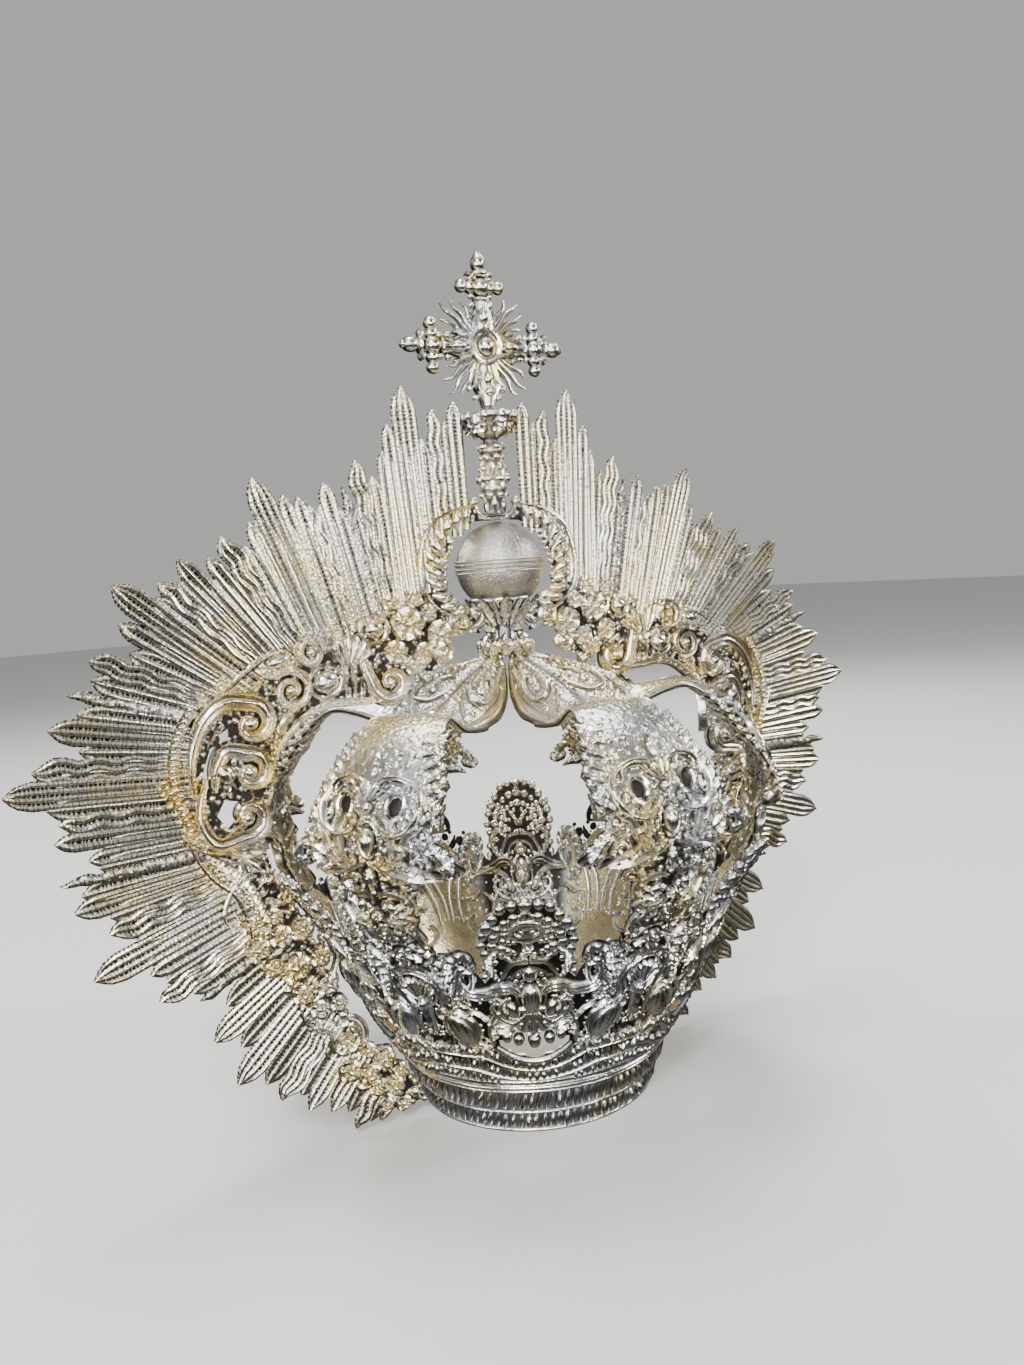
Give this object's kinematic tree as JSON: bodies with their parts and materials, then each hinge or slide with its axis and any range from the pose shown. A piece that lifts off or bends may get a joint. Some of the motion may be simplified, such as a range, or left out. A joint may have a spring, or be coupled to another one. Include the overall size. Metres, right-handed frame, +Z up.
{
  "type": "imperial crown",
  "caption": "Openwork silver imperial crown: flared crested basket, arches that meet under a globe and cross, and a tall rayed halo standing across it; rests on its base ring.",
  "frame": {"origin": "centre of the base ring's underside", "axes": "+Z up through the globe and cross, +X to the right along the halo's plane, front faces -Y"},
  "size_m": [0.4844, 0.264, 0.427],
  "materials": {
    "chased_silver": "polished chased silver, darkened in its hollows",
    "ray_silver": "bright grooved silver with a faint yellow tarnish",
    "plain_silver": "smooth silver, dulled, with fine scratches",
    "cast_silver": "cast and chased silver, slightly yellow"
  },
  "bodies": {
    "root": {"basket": "chased_silver", "arch_front": "chased_silver", "arch_front_right": "chased_silver", "arch_back_right": "chased_silver", "arch_back": "chased_silver", "arch_back_left": "chased_silver", "arch_front_left": "chased_silver", "halo": "ray_silver", "orb_collar": "chased_silver", "orb": "plain_silver", "cross_stem": "cast_silver", "cross": "cast_silver"}
  },
  "joints": []
}
